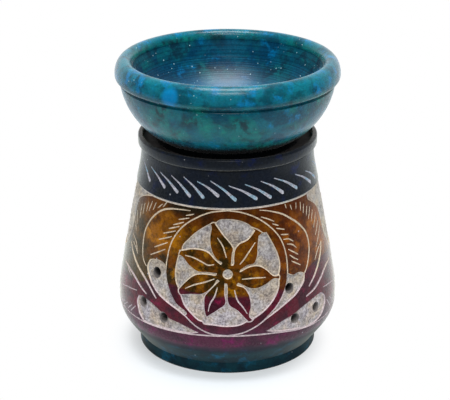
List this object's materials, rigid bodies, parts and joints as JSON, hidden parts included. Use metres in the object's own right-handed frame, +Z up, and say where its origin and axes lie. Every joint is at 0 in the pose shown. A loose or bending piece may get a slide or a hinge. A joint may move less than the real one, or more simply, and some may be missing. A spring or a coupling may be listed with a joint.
{
  "type": "essential oil burner",
  "caption": "Turned, carved soapstone oil burner with a loose rolled-lip dish in its open top and a tealight in an arched chamber that opens at the back.",
  "frame": {"origin": "centre of the flat base, on the surface that the burner stands on", "axes": "+Z up along the turning axis, -Y towards the carved front, +Y towards the tealight door"},
  "size_m": [0.0776, 0.0774, 0.105],
  "materials": {
    "body_stone": "dyed in dark blue, amber, crimson and teal zones, waxed, with raw carved ground",
    "dish_stone": "dyed mottled teal and waxed",
    "cup_metal": "bright pressed sheet",
    "wax": "translucent paraffin wax",
    "wick_cotton": "waxed braided cotton",
    "sustainer_metal": "tinned sheet"
  },
  "bodies": {
    "stand": {"burner_body": "body_stone"},
    "dish": {"oil_dish": "dish_stone"},
    "tealight": {"tealight_cup": "cup_metal", "tealight_wax": "wax", "tealight_wick": "wick_cotton", "wick_sustainer": "sustainer_metal"}
  },
  "joints": [
    {"name": "dish_lift", "type": "slide", "parent": "stand", "child": "dish", "axis": [0, 0, 1], "range_m": [0, 0.05]},
    {"name": "tealight_slide", "type": "slide", "parent": "stand", "child": "tealight", "axis": [0, 1, 0], "range_m": [0, 0.062]}
  ]
}
